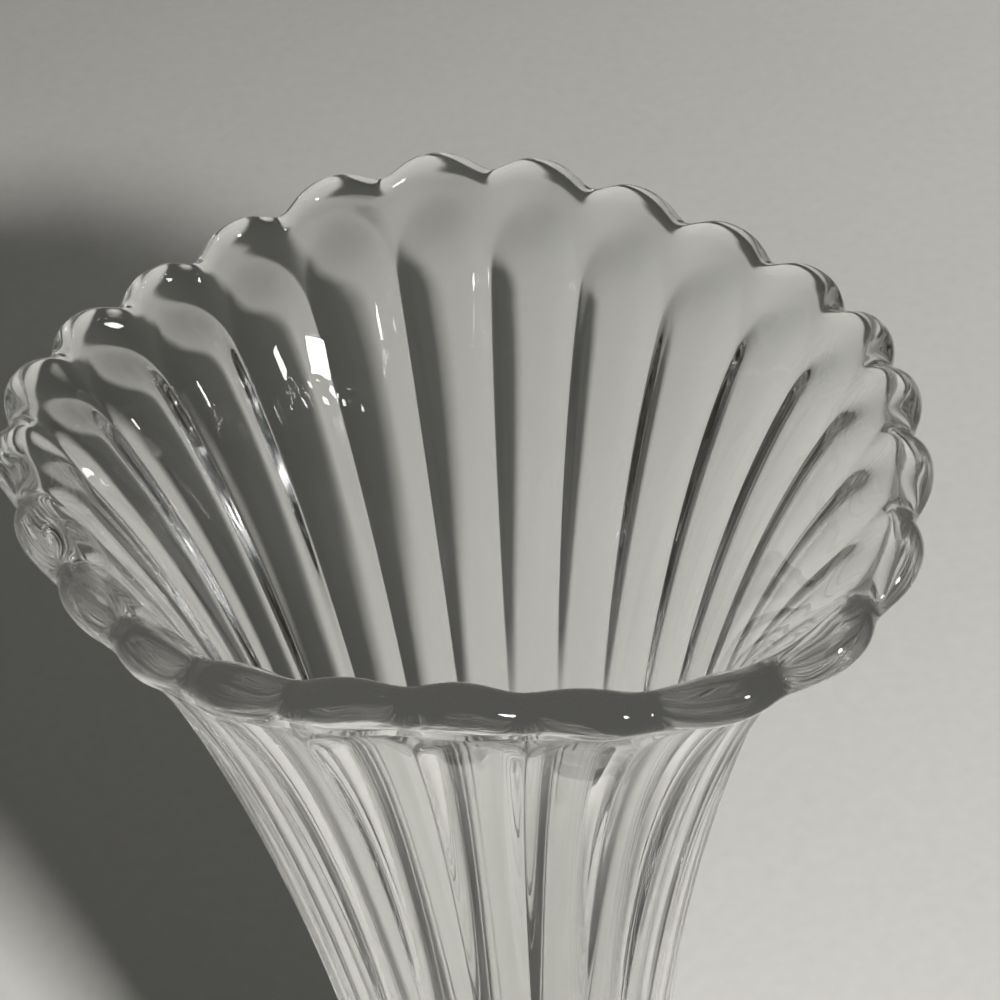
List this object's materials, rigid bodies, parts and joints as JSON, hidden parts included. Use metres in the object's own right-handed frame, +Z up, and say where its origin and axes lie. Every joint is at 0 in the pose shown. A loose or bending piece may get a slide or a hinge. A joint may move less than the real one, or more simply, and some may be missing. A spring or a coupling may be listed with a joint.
{
  "type": "swung vase",
  "caption": "Tall clear pressed-glass vase with a round foot, a slim ribbed body and a wide flared mouth with a scalloped rim, for cut flowers.",
  "frame": {"origin": "centre of the flat underside of the foot", "axes": "+Z up along the vase's axis, from the foot to the mouth; the middle of a flute lies on +X"},
  "size_m": [0.1242, 0.125, 0.305],
  "materials": {
    "clear_glass": "clear colourless pressed glass, fire-polished"
  },
  "bodies": {
    "root": {"foot": "clear_glass", "solid_base": "clear_glass", "lower_body": "clear_glass", "column": "clear_glass", "flare": "clear_glass", "mouth": "clear_glass", "scalloped_rim": "clear_glass"}
  },
  "joints": []
}
